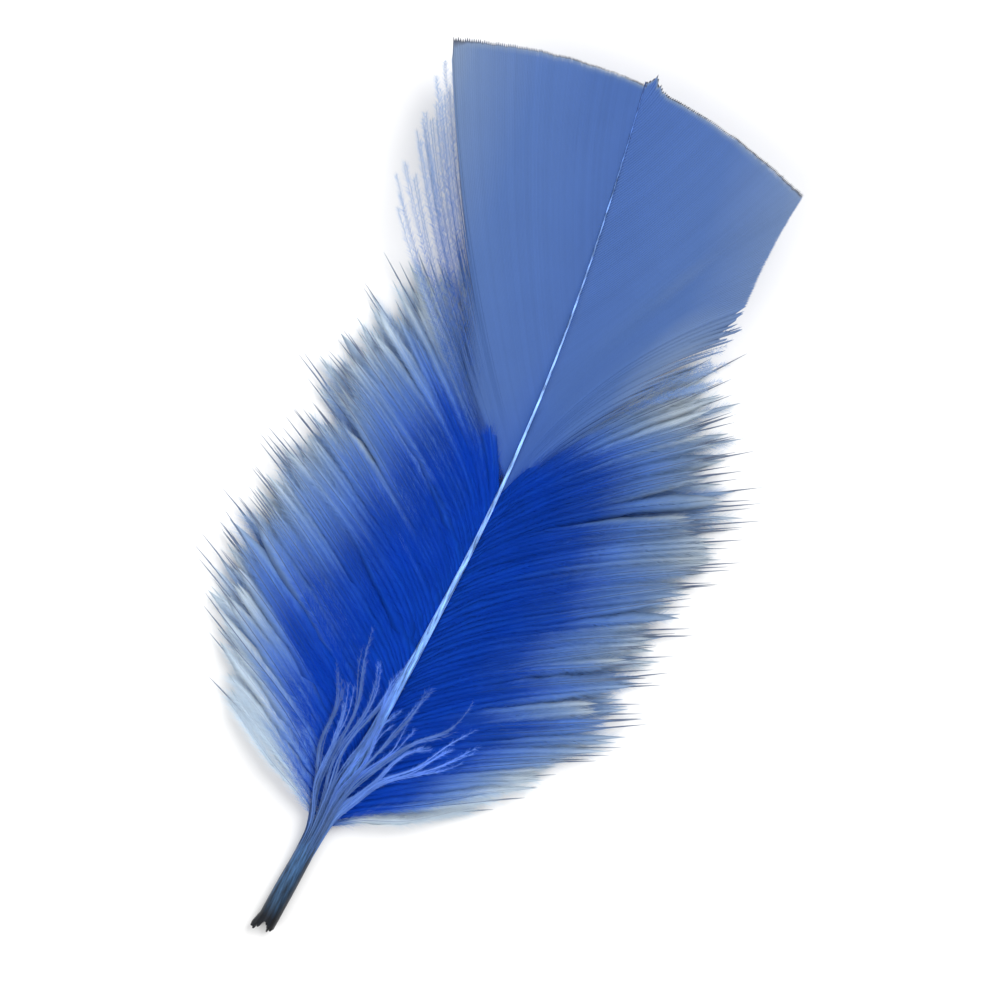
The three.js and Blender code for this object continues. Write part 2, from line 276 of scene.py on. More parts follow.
# The web: a low crest along each barb, a sag between barbs, and a fine point at each end
CREST_HEIGHT = 0.014
CREST_FOOT = 0.08
CREST_SPACING = 0.25
WEB_SAG = 0.008
WEB_THICKNESS = 0.06
POINT_LENGTH = (0.15, 0.45)
SOFT_EDGE = 0.8
EDGE_HOOKED = 0.3

# The lowest barbs: how far along each one opens, by the height of its root, and how it strays from there
OPENING = {
    "left": {"from": [(0, 0.15), (1.5, 0.2), (3.1, 0.34), (3.7, 0.66), (3.95, 1.25)], "bunch": 2.6},
    "right": {"from": [(0, 0.5), (1.5, 0.66), (3, 0.82), (4.5, 1.0), (5.5, 1.25)], "bunch": 2.6},
}
OPENING_JITTER = (0.92, 1.08)
OPENING_LENGTH = 0.35
LOOSE_LENGTH = (-0.1, 0.03)
LOOSE_STEM = 0.045
LOOSE_SINK = 1.6
LOOSE_SINK_SPREAD = (0.4, 1.4)
LOOSE_STRAY = 0.35
STRAY_LENGTH = 0.8
LOOSE_PULL = 0.55
FREE_BARBULES = 360
FREE_LENGTH = (1.8, 0.7)
LENGTH_SPREAD = (0.5, 1.2)
FREE_WIDTH = 0.05
FREE_LEAN = (25, 55)
FREE_TILT = 25
FLOOR_CLEARANCE = 0.04

# Places on the run of colour, from the deep root at 0 to the pale edge and its dark rim at 1, and shades
ROOT_TONE = [(0.0, 0.0), (1.0, 0.12), (6.0, 0.18), (18.0, 0.23), (57.0, 0.27)]
EDGE_TONE = 0.96
OUTWARD_SHAPE = 1.3
SIDE_TONE = 0.55
SIDE_SPREAD = 14.0
LOW_SPREAD = 16.0
DARK_EDGE = 1.0
VANE_SHADE_WAVE = 1.1
VANE_SHADE_WAVES = 30
VANE_SHADE_JITTER = 0.12


def blend(a, b, t):
    return a + (b - a) * t


def ease(t):
    t = np.clip(t, 0, 1)
    return t * t * (3 - 2 * t)


def unit(vectors):
    return vectors / np.maximum(np.linalg.norm(vectors, axis=-1, keepdims=True), 1e-9)


def uneven(count, waves, dice):
    """A smooth random run of values about zero, one for each barb of a row."""
    turns = dice.uniform(0, 2 * np.pi, waves)[:, None]
    rate = np.arange(1, waves + 1)[:, None]
    return np.sin(2 * np.pi * rate * np.arange(count) / count + turns).mean(0)


def bunches(count, size, dice):
    """The number of the bunch that each barb of a row belongs to, in bunches of uneven size."""
    return np.cumsum(dice.random(count) < 1 / size)


def bent_lines(start, middle, end, t):
    """One line of points for each row of start, middle and end, bent as a quadratic curve."""
    t = t[..., None]
    return (1 - t) ** 2 * start[:, None] + 2 * t * (1 - t) * middle[:, None] + t ** 2 * end[:, None]


def drawn_together(lines, t, bunch, pull, start):
    """Lines whose bunches are drawn sideways to their middles, from a point along each line to its end."""
    ends = lines[:, -1]
    middle = np.stack([ends[bunch == k].mean(0) for k in bunch])
    sideways = unit(np.cross(UP, lines[:, -1] - lines[:, -3]))
    shift = ((middle - ends) * sideways).sum(1) * pull
    grip = ease((t - start[:, None]) / (1 - start[:, None]))
    return lines + (sideways * shift[:, None])[:, None] * grip[..., None]


def half_way(lines):
    """The way from each line to half way to the next line, and to half way to the one before."""
    between = (lines[1:] + lines[:-1]) / 2
    after = np.concatenate([between, 2 * lines[-1:] - between[-1:]]) - lines
    before = np.concatenate([2 * lines[:1] - between[:1], between]) - lines
    return after, before


def directions(lines):
    """Along each line, across it to the left, and up out of it."""
    along = unit(np.gradient(lines, axis=1))
    across = unit(np.cross(UP, along))
    return along, across, np.cross(along, across)


def rings_round(lines, radius, sides, flatness=1.0):
    """The ring of points round each station of the lines, from the top and round by the right."""
    across, lift = directions(lines)[1:]
    turns = np.radians(90 + 360 / sides * np.arange(sides))
    aside, over = np.cos(turns)[:, None], flatness * np.sin(turns)[:, None]
    ring = across[:, :, None] * aside + lift[:, :, None] * over
    return lines[:, :, None] + radius[..., None, None] * ring


def tube_faces(tubes, stations, ring):
    """Triangles of closed tubes whose points run tube by tube, station by station, round the ring."""
    t, s, r = np.meshgrid(np.arange(tubes), np.arange(stations - 1), np.arange(ring), indexing="ij")
    here = ((t * stations + s) * ring + r).ravel()
    beside = ((t * stations + s) * ring + (r + 1) % ring).ravel()
    walls = [np.stack([here, beside, here + ring], 1), np.stack([beside, beside + ring, here + ring], 1)]
    t, r = np.meshgrid(np.arange(tubes), np.arange(1, ring - 1), indexing="ij")
    foot = (t * stations * ring).ravel()
    tip = foot + (stations - 1) * ring
    r = r.ravel()
    caps = [np.stack([foot, foot + r + 1, foot + r], 1), np.stack([tip, tip + r, tip + r + 1], 1)]
    return np.concatenate(walls + caps)


def tube_marks(along, shade, ring, fine):
    """Marks for the points of tubes: how far along, how fine, and each tube's own shade."""
    tubes, stations = along.shape
    return {
        "along": np.repeat(along.ravel(), ring),
        "fine": np.full(tubes * stations * ring, fine),
        "shade": np.repeat(shade, stations * ring),
    }


def tube_map(tubes, stations, ring):
    """Bake map for tubes: each has a row, with its length across the row and its ring up part of it."""
    u = np.tile(np.repeat(np.linspace(0, 1, stations), ring), tubes)
    row = np.repeat(np.arange(tubes), stations * ring)
    v = (row + np.tile(np.linspace(0.05, 0.4, ring), tubes * stations)) / tubes
    return np.stack([u, v], 1)


def tube_part(rings, along, shade, fine=0.0):
    """Tubes through rings of points: their points, triangles, marks and bake map."""
    tubes, stations, ring = rings.shape[:3]
    marks = tube_marks(along, shade, ring, fine)
    return rings.reshape(-1, 3), tube_faces(tubes, stations, ring), marks, tube_map(tubes, stations, ring)


def blade_part(lines, shade, paling, barb, at, side, length, width, lean, tilt):
    """Barbules: thin blades with their feet on the lines, that lean towards the ends on both sides."""
    barbs, stations = lines.shape[:2]
    along, across, lift = directions(lines)
    place = at * (stations - 1)
    low = np.minimum(place.astype(int), stations - 2)
    share = (place - low)[:, None]

    def taken(values):
        return blend(values[barb, low], values[barb, low + 1], share)

    foot, ahead, out, over = taken(lines), taken(along), taken(across), taken(lift)
    lean, tilt = lean[:, None], tilt[:, None]
    way = ahead * np.cos(lean) + (out * side[:, None] * np.cos(tilt) + over * np.sin(tilt)) * np.sin(lean)
    half = ahead * (side * width / 2)[:, None]
    points = np.stack([foot - half, foot + half, foot + way * length[:, None]], 1)
    points[..., 2] = np.maximum(points[..., 2], FLOOR_CLEARANCE)
    count = len(at)
    faces = np.arange(3 * count).reshape(-1, 3)
    marks = {
        "along": np.repeat(at + paling[barb], 3),
        "fine": np.tile([0.6, 0.6, 1.0], count),
        "shade": np.repeat(shade[barb], 3),
    }
    u = at[:, None] + np.array([-0.003, 0.003, 0.0])
    v = (barb[:, None] + np.array([0.45, 0.45, 0.95])) / barbs
    return points.reshape(-1, 3), faces, marks, np.stack([u, v], -1).reshape(-1, 2)


def joined_piece(name, parts, node, material):
    """One object from parts, each with its points in millimetres, triangles, marks and bake map."""
    starts = np.cumsum([0] + [len(part[0]) for part in parts[:-1]])
    points = np.concatenate([part[0] for part in parts])
    faces = np.concatenate([part[1] + start for part, start in zip(parts, starts)]).astype(np.int32)
    mesh = bpy.data.meshes.new(name)
    mesh.vertices.add(len(points))
    mesh.vertices.foreach_set("co", in_frame(points).astype(np.float32).ravel())
    mesh.loops.add(faces.size)
    mesh.loops.foreach_set("vertex_index", faces.ravel())
    mesh.polygons.add(len(faces))
    mesh.polygons.foreach_set("loop_start", np.arange(0, faces.size, 3, dtype=np.int32))
    mesh.update(calc_edges=True)
    mesh.polygons.foreach_set("use_smooth", np.ones(len(faces), bool))
    for mark in parts[0][2]:
        values = np.concatenate([part[2][mark] for part in parts])
        mesh.attributes.new(mark, "FLOAT", "POINT").data.foreach_set("value", values.astype(np.float32))
    bake_map = np.concatenate([part[3] for part in parts])[faces.ravel()]
    mesh.uv_layers.new(name="OFBake").data.foreach_set("uv", bake_map.astype(np.float32).ravel())
    mesh.materials.append(material)
    piece = bpy.data.objects.new(name, mesh)
    bpy.context.scene.collection.objects.link(piece)
    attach(piece, "root")
    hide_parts(node)
    return piece


def plumage(name, stem_stops, blade_stops, rough, gloss, through, shade_range):
    """Dyed barbs: one run of colour along the stems and another along their barbules, with uneven dye and a
    share of the light coming through from behind."""
    material, add = new_material(name)
    along = add("ShaderNodeAttribute", attribute_name="along").outputs["Fac"]
    fine = add("ShaderNodeAttribute", attribute_name="fine").outputs["Fac"]
    shade = add("ShaderNodeAttribute", attribute_name="shade").outputs["Fac"]
    stem = colour_ramp(add, along, stem_stops)
    blade = colour_ramp(add, along, blade_stops)
    is_blade = add("ShaderNodeMapRange", {"Value": fine, "From Min": 0.0, "From Max": 0.6}).outputs["Result"]
    both = add("ShaderNodeMix", {"Factor": is_blade, 6: stem, 7: blade}, data_type="RGBA")
    place = add("ShaderNodeTexCoord").outputs["Object"]
    cloud = add("ShaderNodeTexNoise", {"Vector": place, "Scale": 190.0, "Detail": 3.0}).outputs["Fac"]
    mottled = add("ShaderNodeMath", {0: cloud, 1: shade}, operation="ADD").outputs["Value"]
    darkest, lightest = shade_range
    light = add("ShaderNodeMapRange", {
        "Value": mottled, "From Min": 0.4, "From Max": 1.6, "To Min": darkest, "To Max": lightest})
    colour = add("ShaderNodeHueSaturation", {"Color": both.outputs[2], "Value": light.outputs["Result"]})
    grain = add("ShaderNodeTexNoise", {"Vector": place, "Scale": 6000.0, "Detail": 2.0}).outputs["Fac"]
    bump = add("ShaderNodeBump", {"Height": grain, "Strength": 0.2, "Distance": 0.00005}).outputs["Normal"]
    front = add("ShaderNodeBsdfPrincipled", {"Base Color": colour.outputs["Color"], "Roughness": rough,
                                             "Specular IOR Level": gloss, "Normal": bump})
    behind = add("ShaderNodeBsdfTranslucent", {"Color": colour.outputs["Color"]})
    barb = add("ShaderNodeMixShader", {"Fac": through, 1: front.outputs["BSDF"], 2: behind.outputs["BSDF"]})
    add("ShaderNodeOutputMaterial", {"Surface": barb.outputs["Shader"]})
    return material


def vane_height(x, y):
    """The hollow face of the vanes: it follows the shaft and curls up towards both sides."""
    return shaft_z(y) - shaft_radius(y) / 3 + VANE_CURL * (x - shaft_x(y)) ** 2


def vane_barb_ends(vane, roots):
    """Where the barbs end, spread evenly up the side of the vane and then over its squared tip."""
    tall = VANE_TOP_ROOT - vane["low_root"]
    side_length = vane["corner"][1] - vane["low_end"][1]
    slant = math.atan2(vane["corner"][0], vane["corner"][1] - vane["corner_root"])
    side_share = 1 / (1 + vane["corner"][0] / (side_length * math.tan(slant)))
    spreading = math.log(side_share) / math.log((vane["corner_root"] - vane["low_root"]) / tall)
    reached = ((roots - vane["low_root"]) / tall) ** spreading
    up_side = np.clip(reached / side_share, 0, 1)
    over_tip = np.clip((reached - side_share) / (1 - side_share), 0, 1)
    side_out = blend(vane["low_end"][0], vane["corner"][0], up_side) - SIDE_DENT * np.sin(np.pi * up_side)
    side_y = blend(vane["low_end"][1], vane["corner"][1], up_side)
    tip_out = blend(vane["corner"][0], vane["side"] * shaft_x(roots) - MEETING_LAP, over_tip)
    tip_y = TIP_LINE - TIP_CURVE * tip_out ** 2
    below = roots < vane["corner_root"]
    return np.stack([np.where(below, side_out, tip_out), np.where(below, side_y, tip_y)], 1)


def make_vane(name, vane, material, dice):
    """One vane: barbs with their strips of web, and free barbules where the lowest have opened."""
    side = vane["side"]
    opening = OPENING[name]
    roots = blend(vane["low_root"], VANE_TOP_ROOT, np.linspace(0, 1, VANE_BARBS) ** LOW_CROWDING)
    apart = np.clip((VANE_TOP_ROOT - roots) / MEETING_LENGTH, 0, 1)
    start_out = side * shaft_x(roots) + blend(-MEETING_LAP, BARB_FOOT * shaft_radius(roots), apart)
    start = np.stack([start_out, roots], 1)
    end = vane_barb_ends(vane, roots)
    above = roots - vane["low_root"]
    opens = np.interp(above, *zip(*opening["from"])) * dice.uniform(*OPENING_JITTER, VANE_BARBS)
    slack = 1 + dice.normal(0, LENGTH_JITTER, VANE_BARBS)
    slack = slack + LENGTH_WAVE * uneven(VANE_BARBS, LENGTH_WAVES, dice)
    slack = slack + np.where(opens < 1, dice.uniform(*LOOSE_LENGTH, VANE_BARBS), 0)
    end = start + (end - start) * slack[:, None]
    if side > 0:
        end[-len(TIP_TUFT):, 1] += TIP_TUFT
    firm = ease(above / (FIRM_FROM * (VANE_TOP_ROOT - vane["low_root"])))
    bend = blend(vane["low_bend"], FIRM_BEND, firm)[:, None]
    middle = (start + end) / 2 + np.stack([start[:, 1] - end[:, 1], end[:, 0] - start[:, 0]], 1) * bend
    t = 1 - (1 - np.linspace(0, 1, VANE_STATIONS)[None, :]) ** TIP_CROWDING
    flat = bent_lines(start, middle, end, t)
    x, y = side * flat[..., 0], flat[..., 1]
    ripple = np.sin(0.31 * x + 0.17 * y) + np.sin(0.53 * y - 0.2 * x + 1.0)
    lines = np.stack([x, y, vane_height(x, y) + RIPPLE_HEIGHT * ripple * t], -1)

    # The lowest barbs open: past a point on each, the web gives way to the bare stem, and the stems bunch
    closed = 1 - ease((t - opens[:, None]) / OPENING_LENGTH)
    pull = LOOSE_PULL * (1 - closed[:, -1])
    bunch = bunches(VANE_BARBS, opening["bunch"], dice)
    lines = drawn_together(lines, t, bunch, pull, np.minimum(opens, 0.96))
    stray = dice.normal(0, 1.0, (VANE_BARBS, 1)) * ease((t - opens[:, None]) / STRAY_LENGTH)
    lines[..., 0] += stray * LOOSE_STRAY
    lines[..., 1] += stray * LOOSE_STRAY
    sink = LOOSE_SINK * dice.uniform(*LOOSE_SINK_SPREAD, (VANE_BARBS, 1))
    lines[..., 2] -= (1 - closed) * sink * t

    # Each barb's web reaches half way to its neighbours and narrows to a fine point at the end
    tipward, footward = half_way(lines)
    hooked = blend(EDGE_HOOKED, 1, ease(above / SOFT_EDGE))[:, None, None]
    tipward, footward = tipward * hooked, footward * hooked
    barb_length = np.linalg.norm(end - start, axis=1)[:, None]
    to_tip = (1 - t) * barb_length
    point = np.clip(to_tip / dice.uniform(*POINT_LENGTH, (VANE_BARBS, 1)), 0.05, 1)[..., None]

    def web(reach):
        return (reach * closed[..., None] + unit(reach) * (LOOSE_STEM * (1 - closed))[..., None]) * point

    def crest_foot(reach):
        width = np.linalg.norm(reach, axis=-1, keepdims=True)
        return reach * np.minimum(1, CREST_FOOT / np.maximum(width, 1e-6))

    left, right = (web(tipward), web(footward)) if side > 0 else (web(footward), web(tipward))
    left_width = np.linalg.norm(left, axis=-1, keepdims=True)
    crest = UP * CREST_HEIGHT * point * np.minimum(1, left_width / CREST_SPACING)
    sag = UP * WEB_SAG
    under = UP * (WEB_SAG + WEB_THICKNESS)
    rings = np.stack([lines + left - sag, lines + crest_foot(left), lines + crest, lines + crest_foot(right),
                      lines + right - sag, lines + right - under, lines + left - under], 2)
    shade = 0.5 + VANE_SHADE_WAVE * uneven(VANE_BARBS, VANE_SHADE_WAVES, dice)
    shade = np.clip(shade + dice.normal(0, VANE_SHADE_JITTER, VANE_BARBS), 0, 1)
    root_tone = np.interp(above, *zip(*ROOT_TONE))[:, None]
    outward = np.clip(abs(x - shaft_x(y)) / vane["corner"][0], 0, 1) ** OUTWARD_SHAPE
    beside_corner = ease(1 - abs(roots - vane["corner_root"]) / SIDE_SPREAD)[:, None]
    at_side = SIDE_TONE * beside_corner * ease(t / 0.6)
    at_low_end = ease(1 - above / LOW_SPREAD)[:, None] * ease((t - 0.25) / 0.6)
    paled = np.maximum(np.maximum(outward, at_side), at_low_end)
    tone = blend(root_tone, EDGE_TONE, paled)
    at_tip = (roots > vane["corner_root"])[:, None]
    tone = np.where(at_tip, blend(tone, 1, ease(1.25 - to_tip / DARK_EDGE)), tone)
    webs = tube_part(rings, tone, shade)

    # Barbules stand free only on the opened stretches
    barb = np.repeat(np.arange(VANE_BARBS), FREE_BARBULES)
    at = np.tile((np.arange(FREE_BARBULES) + 0.5) / FREE_BARBULES, VANE_BARBS) * 0.95
    free = dice.random(len(at)) < ease((1 - (1 - at) ** TIP_CROWDING - opens[barb] - 0.05) / 0.4)
    barb, at = barb[free], at[free]
    amount = len(at)
    blades = blade_part(
        lines, shade, np.zeros(VANE_BARBS), barb, at, np.where(dice.random(amount) < 0.5, -1, 1),
        blend(*FREE_LENGTH, at) * dice.uniform(*LENGTH_SPREAD, amount), np.full(amount, FREE_WIDTH),
        np.radians(dice.uniform(*FREE_LEAN, amount)), np.radians(dice.normal(0, FREE_TILT, amount)))
    return joined_piece(f"vane_barbs_{name}", [webs, blades], f"vane_{name}", material)


closed_barbs = plumage(
    "closed_barbs",
    [(0.0, (34, 80, 184)), (0.12, (64, 106, 194)), (0.25, (80, 117, 187)), (0.55, (88, 123, 186)),
     (0.85, (116, 143, 188)), (0.96, (134, 155, 188)), (1.0, (88, 92, 104))],
    [(0.0, (40, 92, 200)), (0.4, (70, 118, 208)), (0.7, (122, 160, 218)), (1.0, (172, 194, 224))],
    rough=0.5, gloss=0.25, through=0.35, shade_range=(0.95, 1.05))
for index, (name, vane) in enumerate(VANES.items()):
    make_vane(name, vane, closed_barbs, np.random.default_rng(11 + index))

# Down. Below the vanes the barbs have no hooks: each is a thread with long soft barbules, and they lie over
# each other in a lower and an upper layer. The longer ones lead each tuft and end in a bare point.
DOWN_LAYERS = {
    "lower": {"reach": 1.0, "middle": 0.6, "end": 0.9, "barbule": 1.25},
    "upper": {"reach": 0.96, "middle": 5.0, "end": 1.9, "barbule": 1.0},
}
DOWN_BARBS = 92
DOWN_STATIONS = 18
DOWN_START = 16.5
DOWN_END = 65.0
TOP_CROWDING = 0.4
FOOT_OUT = 0.7
FOOT_LOW = 0.3

# How long the barbs are and how they lie, with their angles from the shaft in degrees
DOWN_REACH = {"left": 36.0, "right": 39.0}
LOWEST_REACH = 0.6
FULL_REACH_FROM = 0.12
ROOT_ANGLE = [(0.0, 54), (0.1, 34), (0.7, 26), (1.0, 14)]
CHORD_ANGLE = [(0.0, 62), (0.06, 57.5), (0.15, 55), (0.7, 54), (0.85, 47), (1.0, 32)]
ROOT_JITTER = 1.8
END_JITTER = 0.9
TURN_AT = 0.27
DOWN_RUFFLE = 0.9
RUFFLE_WAVES = 16
RUFFLE_JITTER = 0.12
BARB_SWING = (0.05, 0.3)
BARB_WAVES = (4, 9)
STEM_CLEARANCE = 0.12

# The tufts, and the barbs that lead them
TUFT_BARBS = 5.0
TUFT_LENGTH = (0.94, 1.04)
TUFT_SWAY = 0.5
TUFT_PULL = (0.05, 0.25)
TUFT_GRIP = 0.55
LEADING_SHARE = 0.38
LEADING_LENGTH = (0.96, 1.04)
OTHER_LENGTH = (0.84, 0.97)
STEM_RADIUS = (0.07, 0.05)
LEADING_RADIUS = (0.09, 0.13)
STEM_POINT = 0.08

# The film of matted barbules, and the loose barbules on it
FILM_FULLNESS = [(0.0, 1.0), (0.8, 1.0), (0.9, 0.82), (0.96, 0.48), (1.0, 0.03)]
LEADING_FILM = 0.93
LOW_FILM = [(0.0, 0.35), (0.06, 1.0)]
FILM_REACH = [(0.0, 1.8), (0.6, 1.7), (0.85, 1.4), (1.0, 0.9)]
FILM_ORDER_AT = 14.0
FILM_LEAST = 0.4
FILM_SLOPE = 0.5
FILM_LAP = [(0.0, 1.5), (0.6, 1.4), (0.8, 1.0)]
FILM_RAG = 0.18
FILM_THICKNESS = 0.03
BARBULES = 860
BARBULE_LENGTH = 2.2
ROOT_BARBULE = 0.35
BARBULE_WIDTH = (0.055, 0.045)
BARBULE_LEAN = (12, 36)
BARBULE_TILT = (4, 16)
LEADING_BARBULES = 0.92
CROWDING = [(0.0, 0.2), (0.3, 0.4), (0.5, 0.8), (0.7, 1.4), (0.88, 1.6), (0.95, 0.6), (0.98, 0.1)]

# How far the dye has paled, by the order of the barbs from the lowest to the vane, and each barb's own shade
LOWEST_PALING = [(0.0, 0.65), (0.04, 0.0)]
PALING = [(0.0, 0.24), (0.16, 0.0), (0.87, 0.0), (1.0, 0.22)]
TUFT_PALING = 0.06
STEM_PALING = 0.3
INNER_PALING = {"left": 0.4, "right": 0.05}
DOWN_SHADE = {"left": 0.45, "right": 0.0}
LOW_SHADE = [(0.0, 0.6), (0.4, 0.2)]
SHADE_JITTER = 0.4


def make_down(name, side, layer_name, material, dice):
    """One layer of down on one side of the shaft: stems, the film between them and loose barbules."""
    layer = DOWN_LAYERS[layer_name]
    order = (np.arange(DOWN_BARBS) + dice.uniform(0.2, 0.8, DOWN_BARBS)) / DOWN_BARBS
    root = blend(DOWN_START, DOWN_END, blend(order, np.sin(order * np.pi / 2), TOP_CROWDING))
    grown = blend(LOWEST_REACH, 1, np.minimum(1, order / FULL_REACH_FROM))
    leads = dice.random(DOWN_BARBS) < LEADING_SHARE
    leading = dice.uniform(*LEADING_LENGTH, DOWN_BARBS)
    others = dice.uniform(*OTHER_LENGTH, DOWN_BARBS)
    tuft = bunches(DOWN_BARBS, TUFT_BARBS, dice)
    tufts = tuft.max() + 1
    share = np.where(leads, leading, others) * dice.uniform(*TUFT_LENGTH, tufts)[tuft]
    length = DOWN_REACH[name] * layer["reach"] * grown * share
    sway = dice.normal(0, TUFT_SWAY, tufts)[tuft]
    root_angle = np.interp(order, *zip(*ROOT_ANGLE)) + dice.normal(0, ROOT_JITTER, DOWN_BARBS)
    end_angle = np.interp(order, *zip(*CHORD_ANGLE)) + sway + dice.normal(0, END_JITTER, DOWN_BARBS)

    def heading(degrees):
        angle = np.radians(degrees)
        return np.stack([side * np.sin(angle), np.cos(angle), 0 * angle], 1)

    start_x = shaft_x(root) + side * shaft_radius(root) * FOOT_OUT
    start = np.stack([start_x, root, shaft_z(root) - shaft_radius(root) * FOOT_LOW], 1)
    turn = start + (length * TURN_AT)[:, None] * heading(root_angle)
    ruffle = DOWN_RUFFLE * uneven(DOWN_BARBS, RUFFLE_WAVES, dice) + dice.normal(0, RUFFLE_JITTER, DOWN_BARBS)
    turn[:, 2] = layer["middle"] + ruffle
    end = start + length[:, None] * heading(end_angle)
    end[:, 2] = layer["end"] + ruffle / 2
    t = np.linspace(0, 1, DOWN_STATIONS)[None, :]
    lines = bent_lines(start, turn, end, t)

    # Neighbouring barbs are drawn together towards their ends, and each one waves a little
    pull = dice.uniform(*TUFT_PULL, tufts)[tuft]
    lines = drawn_together(lines, t, tuft, pull, np.full(DOWN_BARBS, TUFT_GRIP))
    across = directions(lines)[1]
    swing = dice.uniform(*BARB_SWING, (DOWN_BARBS, 1))
    wave = np.sin(dice.uniform(*BARB_WAVES, (DOWN_BARBS, 1)) * t + dice.uniform(0, 6.3, (DOWN_BARBS, 1)))
    lines += across * (swing * wave * ease(t / 0.4))[..., None]
    lines[..., 2] = np.maximum(lines[..., 2], STEM_CLEARANCE)

    radius = np.where(leads[:, None], blend(*LEADING_RADIUS, t), blend(*STEM_RADIUS, t))
    radius = radius * np.sqrt(np.clip((1 - t) / STEM_POINT, 0.02, 1))
    shade = DOWN_SHADE[name] + np.interp(order, *zip(*LOW_SHADE)) + SHADE_JITTER * dice.random(DOWN_BARBS)

    # The lowest barbs and those next to the vane are pale all along, and some tufts are pale near the shaft
    paling = np.interp(order, *zip(*LOWEST_PALING)) * dice.uniform(0.3, 1.0, DOWN_BARBS)
    paling += np.interp(order, *zip(*PALING))
    paling += dice.uniform(-TUFT_PALING, TUFT_PALING, tufts)[tuft]
    inner_paling = dice.uniform(0, INNER_PALING[name], tufts)[tuft][:, None] * (1 - t)
    stems = tube_part(rings_round(lines, radius, 3), t + STEM_PALING * paling[:, None], shade)

    # Barbules mat into a thin film that laps those of the next barbs, unless they are too far away. Which
    # barbs are next is read some way out from the shaft, because a few cross before that.
    def film_side(way, aside):
        rag = 1 + FILM_RAG * dice.normal(0, 1, (DOWN_BARBS, DOWN_STATIONS))
        full = np.interp(t / np.where(leads, LEADING_FILM, 1.0)[:, None], *zip(*FILM_FULLNESS)) * rag
        full = full * np.interp(order, *zip(*LOW_FILM))[:, None]
        wide = np.clip(np.abs((way * aside).sum(-1)), FILM_LEAST, np.interp(t, *zip(*FILM_REACH)))
        rise = np.clip(way[..., 2], -FILM_SLOPE * wide, FILM_SLOPE * wide)
        return full[..., None] * (aside * wide[..., None] + UP * rise[..., None])

    passing = [np.interp(FILM_ORDER_AT, side * line[:, 0], line[:, 1]) for line in lines]
    ranked = np.argsort(passing)
    lapped = np.interp(t, *zip(*FILM_LAP))[..., None]
    tipward, footward = (way[np.argsort(ranked)] * lapped for way in half_way(lines[ranked]))
    left, right = (tipward, footward) if side > 0 else (footward, tipward)
    over = UP * FILM_THICKNESS
    across = directions(lines)[1]
    film_rings = np.stack([lines + film_side(left, across), lines + over,
                           lines + film_side(right, -across), lines - over], 2)
    film_rings[..., 2] = np.maximum(film_rings[..., 2], FLOOR_CLEARANCE)
    film = tube_part(film_rings, t + paling[:, None] + inner_paling, shade, fine=1.0)

    # Loose barbules crowd on the outer stretch and thin out at the very end
    fine_t = np.linspace(0.02, 0.97, 400)
    filled = np.cumsum(np.interp(fine_t, *zip(*CROWDING)))
    barb = np.repeat(np.arange(DOWN_BARBS), 2 * BARBULES)
    amount = len(barb)
    at = np.interp(dice.random(amount), filled / filled[-1], fine_t)
    at = at * np.where(leads[barb], LEADING_BARBULES, 1.0)
    blades = blade_part(
        lines, shade, paling, barb, at, np.tile([-1, 1], DOWN_BARBS * BARBULES),
        BARBULE_LENGTH * dice.uniform(*LENGTH_SPREAD, amount) * blend(ROOT_BARBULE, 1, ease(at / 0.15)),
        layer["barbule"] * blend(*BARBULE_WIDTH, at) * dice.uniform(0.7, 1.2, amount),
        np.radians(dice.uniform(*BARBULE_LEAN, amount)), np.radians(dice.normal(*BARBULE_TILT, amount)))
    return joined_piece(f"down_{layer_name}_{name}", [stems, film, blades], f"down_{name}", material)


loose_barbs = plumage(
    "loose_barbs",
    [(0.0, (18, 78, 200)), (0.42, (14, 70, 190)), (0.58, (32, 74, 160)), (0.75, (78, 106, 158)),
     (0.9, (122, 138, 170)), (1.0, (152, 162, 180))],
    [(0.0, (8, 74, 196)), (0.45, (10, 76, 196)), (0.62, (38, 92, 198)), (0.76, (104, 148, 218)),
     (0.89, (148, 178, 216)), (1.0, (204, 217, 228))],
    rough=0.75, gloss=0.1, through=0.45, shade_range=(0.84, 1.2))
seed = 31
for name, vane in VANES.items():
    for layer_name in DOWN_LAYERS:
        make_down(name, vane["side"], layer_name, loose_barbs, np.random.default_rng(seed))
        seed += 1

# Afterfeather. A second small plume leaves the top of the quill. Its barbs are matted into glossy ribbons
# that cling to the quill, lie over the foot of the shaft and fray into wisps.
RIBBONS = [
    [(-1.3, 19), (-2.6, 26), (-3.4, 32), (-5.2, 38)],
    [(-0.9, 20), (-2.0, 27), (-2.0, 31), (-3.0, 36)],
    [(-0.8, 20), (-1.4, 27), (-0.6, 33), (-2.2, 39), (-3.1, 45)],
    [(0.0, 20), (-0.5, 28), (0.5, 33), (0.2, 38), (-0.6, 41)],
    [(0.3, 20), (0.3, 27), (1.2, 33), (2.2, 37), (3.5, 43)],
    [(0.8, 20), (1.2, 27), (2.2, 32), (3.0, 37), (3.3, 41)],
    [(1.3, 20), (2.3, 28), (2.8, 34), (3.6, 40)],
    [(1.7, 20), (3.0, 26), (3.6, 31), (5.0, 35)],
    [(1.8, 20), (3.8, 28), (4.9, 32), (7.0, 35), (7.7, 41.5)],
    [(2.1, 20), (4.6, 26.5), (6.2, 31), (7.4, 34)],
    [(2.3, 20), (5.3, 27.5), (7.6, 32.3), (12.4, 34.6), (13.6, 37.5), (13.5, 41)],
    [(2.5, 20), (6.0, 26), (9.0, 31), (11.5, 33)],
    [(2.6, 19.5), (7.1, 26), (9.8, 29.4), (13.5, 33), (15.2, 37)],
    [(2.8, 19), (6.5, 24.5), (11.0, 29), (17.5, 34)],
]
RIBBON_STRANDS = 6
STRAND_STATIONS = 30

